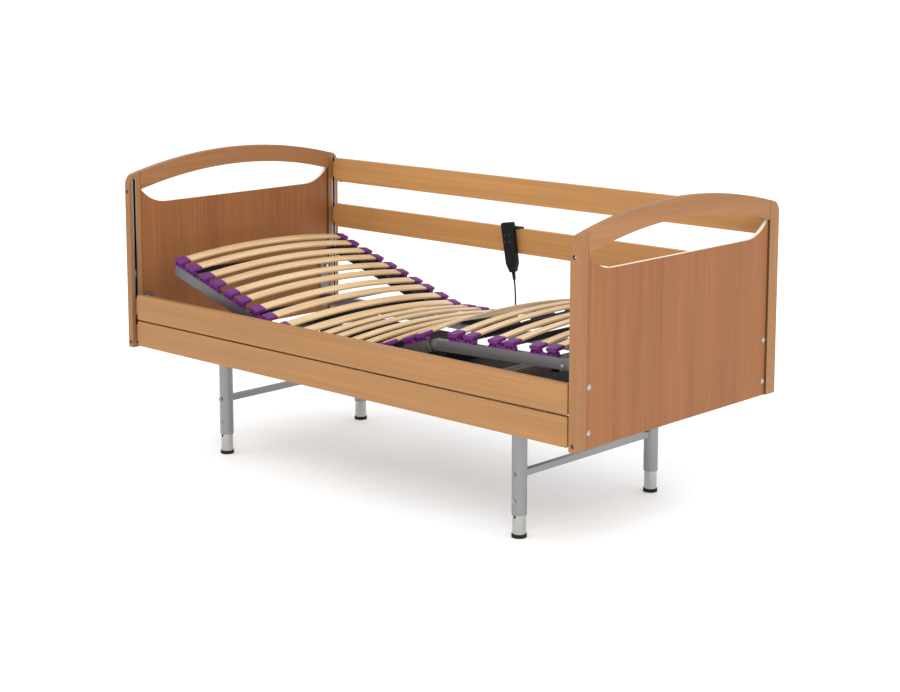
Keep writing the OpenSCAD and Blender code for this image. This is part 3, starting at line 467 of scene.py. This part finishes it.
def holder_solid(bm, m, s, side):
    """A double holder: base strip, two saddles of four webs, two sleeves for the slats' ends."""
    total = PITCH + SLEEVE_W
    mid_y = HOLDER_Y - HOLDER_L / 2
    tilt = math.asin(mid_y / SLAT_R)
    mid_z = SLAT_CZ + math.sqrt(SLAT_R ** 2 - mid_y ** 2)
    flip = Matrix.Scale(side, 4, (0, 1, 0))
    y0, y1 = HOLDER_Y - 0.022, HOLDER_Y - 0.004
    swap_yz = Matrix(((1, 0, 0, 0), (0, 0, 1, 0), (0, 1, 0, 0), (0, 0, 0, 1)))
    to = m @ flip @ Matrix.Translation((s, 0, PROF_TOP)) @ swap_yz
    base = [(0.002, 0), (total - 0.002, 0), (total, 0.002),
            (total - 0.002, 0.0045), (0.002, 0.0045), (0, 0.002)]
    add_prism(bm, base, y0, y1, to)
    low, top = 0.004, 0.0135
    for k in (0, 1):
        x = k * PITCH
        for a, b, c, d in ((0.0005, 0.0035, 0.0095, 0.0045), (0.0175, 0.0215, 0.0140, 0.0100),
                           (0.0185, 0.0225, 0.0300, 0.0260), (0.0365, 0.0395, 0.0355, 0.0305)):
            add_prism(bm, [(x + a, low), (x + b, low), (x + c, top), (x + d, top)], y0, y1, to)
    link_web = [(SLEEVE_W - 0.002, 0.0035), (PITCH + 0.002, 0.0035), (PITCH + 0.004, 0.009),
                (PITCH - 0.004, 0.0065), (SLEEVE_W + 0.004, 0.0065), (SLEEVE_W - 0.004, 0.009)]
    add_prism(bm, link_web, y0 + 0.003, y1 - 0.003, to)
    for k in (0, 1):
        x = s + k * PITCH + SLEEVE_W / 2
        sm = m @ flip @ Matrix.Translation((x, mid_y, mid_z)) @ Matrix.Rotation(-tilt, 4, "X")
        outer = rounded(SLEEVE_W, SLEEVE_H, 0.0045)
        inner = rounded(SLAT_W + 0.0004, SLAT_T + 0.0004, 0.002)
        h = HOLDER_L / 2
        rings = []
        for y, sc in ((-h + 0.0002, 0.93), (-h + 0.0018, 1.0), (h - 0.005, 1.0),
                      (h - 0.0015, 0.97), (h - 0.0003, 0.88)):
            wide = 1 - (1 - sc) * 0.4
            rings.append([bm.verts.new(sm @ Vector((u * wide, y, v * sc))) for u, v in outer])
        mouth = [bm.verts.new(sm @ Vector((u, -h + 0.0002, v))) for u, v in inner]
        deep = [bm.verts.new(sm @ Vector((u, -h + 0.009, v))) for u, v in inner]
        n = len(outer)
        for p, q in zip(rings, rings[1:]):
            for j in range(n):
                bm.faces.new((p[j], p[(j + 1) % n], q[(j + 1) % n], q[j]))
        bm.faces.new(rings[-1])
        for j in range(n):
            i = (j + 1) % n
            bm.faces.new((rings[0][i], rings[0][j], mouth[j], mouth[i]))
            bm.faces.new((mouth[i], mouth[j], deep[j], deep[i]))
        bm.faces.new(deep)


def make_holders(name, m, firsts):
    bm = bmesh.new()
    for s in firsts:
        for side in (-1, 1):
            holder_solid(bm, m, s, side)
    return link(name, bm, M_PURPLE, 38)


for name, (m, body, firsts) in SECTIONS.items():
    for piece, node in ((make_slats(name + "_sprung_slats", m, firsts), name + "_slats"),
                        (make_holders(name + "_double_holders", m, firsts), name + "_holders")):
        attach(piece, body)
        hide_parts(node)

# ---------------------------------------------------------------- cord
# Points in millimetres from the hand control to the control box. Only the first three are seen
# in the photo; the rest of the way is a guess.

CORD = [
    (-42, 460, 620.6), (-40, 460, 608), (-35, 460, 560), (-32, 458, 500), (-29, 456, 430),
    (-34, 448, 374), (-70, 420, 346), (-130, 370, 326), (-190, 310, 306), (-230, 250, 290),
    (-220, 195, 280), (-170, 165, 276), (-90, 160, 276), (0, 162, 280), (80, 166, 290),
    (150, 168, 306), (210, 160, 330), (240, 142, 352), (250, 124, 364), (250, 100, 364),
]

CORD_STEP = 0.006


def cord_line():
    """Catmull-Rom curve through the cord's points, from the control box to the hand control."""
    pts = [Vector(p) / 1000 for p in CORD]
    out = []
    for i in range(len(pts) - 1):
        a, b, c, d = pts[max(i - 1, 0)], pts[i], pts[i + 1], pts[min(i + 2, len(pts) - 1)]
        steps = max(2, round((c - b).length / CORD_STEP))
        for k in range(steps):
            t = k / steps
            out.append(0.5 * (2 * b + (c - a) * t + (2 * a - 5 * b + 4 * c - d) * t * t
                              + (3 * b - a - 3 * c + d) * t ** 3))
    out.append(pts[-1])
    return out[::-1]


def make_cord(radius=0.003, sides=16):
    line = cord_line()
    bm = bmesh.new()
    side = Vector((1, 0, 0))
    rings = []
    for i, p in enumerate(line):
        if i == 0:
            t = Vector((0, 1, 0))
        else:
            t = (line[min(i + 1, len(line) - 1)] - line[i - 1]).normalized()
        side = (side - side.dot(t) * t).normalized()
        up = t.cross(side)
        ring = []
        for k in range(sides):
            a = 2 * math.pi * k / sides
            ring.append(bm.verts.new(p + radius * (math.cos(a) * side + math.sin(a) * up)))
        rings.append(ring)
    for p, q in zip(rings, rings[1:]):
        for k in range(sides):
            bm.faces.new((p[k], p[(k + 1) % sides], q[(k + 1) % sides], q[k]))
    bm.faces.new(rings[0][::-1])
    bm.faces.new(rings[-1])
    ob = link("control_cord", bm, M_CORD, 60)
    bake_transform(ob)
    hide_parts("handset_cord")


make_cord()

# ---------------------------------------------------------------- softened edges on CAD nodes

for node, width, seg in (
    ("head_posts", 0.005, 3), ("foot_posts", 0.005, 3), ("head_arch", 0.005, 3),
    ("foot_arch", 0.005, 3),
    ("near_upper_rail", 0.007, 4), ("near_lower_rail", 0.007, 4), ("far_upper_rail", 0.004, 3),
    ("far_lower_rail", 0.004, 3), ("back_profiles", 0.0025, 2), ("thigh_profiles", 0.0025, 2),
    ("calf_profiles", 0.0025, 2), ("seat_profiles", 0.0025, 2), ("side_beams", 0.002, 2),
    ("control_box", 0.004, 2), ("drive_housing", 0.004, 2), ("drive_lid", 0.004, 2),
    ("cross_beams", 0.002, 2), ("carrier_rails", 0.002, 2), ("seat_rails", 0.002, 2),
    ("back_frame", 0.0015, 2), ("thigh_frame", 0.0015, 2), ("calf_frame", 0.0015, 2),
):
    shade(NODES[node], 40)
    bevel(NODES[node], width, seg, 40)
for node, ob in NODES.items():
    if not ob.modifiers:
        shade(ob, 40)

# ---------------------------------------------------------------- floor and light

FLOOR_HALF = 90  # far enough for its edge to meet the white of the background


def make_stage():
    bm = bmesh.new()
    add_box(bm, (-FLOOR_HALF, -FLOOR_HALF, -0.02), (FLOOR_HALF, FLOOR_HALF, -0.0005))
    n = Nodes("floor", Roughness=0.8, Emission_Color=(1, 1, 1, 1), Emission_Strength=0.16)
    v = n.noise(n.coords((3, 3, 3)), 1.0, 3, 0.5)
    tone = n.ramp(v, ((0.3, (0.91, 0.91, 0.91)), (0.7, (0.93, 0.93, 0.93))))
    n.link(tone, n.b.inputs["Base Color"])
    floor = link("floor", bm, n.mat)
    world = bpy.data.worlds.new("world")
    scene.world = world
    world.use_nodes = True
    bg = world.node_tree.nodes["Background"]
    bg.inputs["Color"].default_value = (1, 1, 1, 1)
    bg.inputs["Strength"].default_value = 1.1
    for name, loc, target, size, power in (
        ("key", (3.4, -3.6, 4.2), (0.2, 0, 0.5), 2.6, 110),
        ("fill", (-3.8, -3.4, 2.6), (-0.2, 0, 0.6), 3.0, 30),
        ("side", (5.0, 1.0, 2.2), (0.4, 0, 0.6), 2.5, 25),
    ):
        lamp = bpy.data.lights.new(name, "AREA")
        lamp.size = size
        lamp.energy = power
        ob = bpy.data.objects.new(name, lamp)
        scene.collection.objects.link(ob)
        ob.location = loc
        ob.rotation_euler = (Vector(target) - Vector(loc)).to_track_quat("-Z", "Y").to_euler()


make_stage()
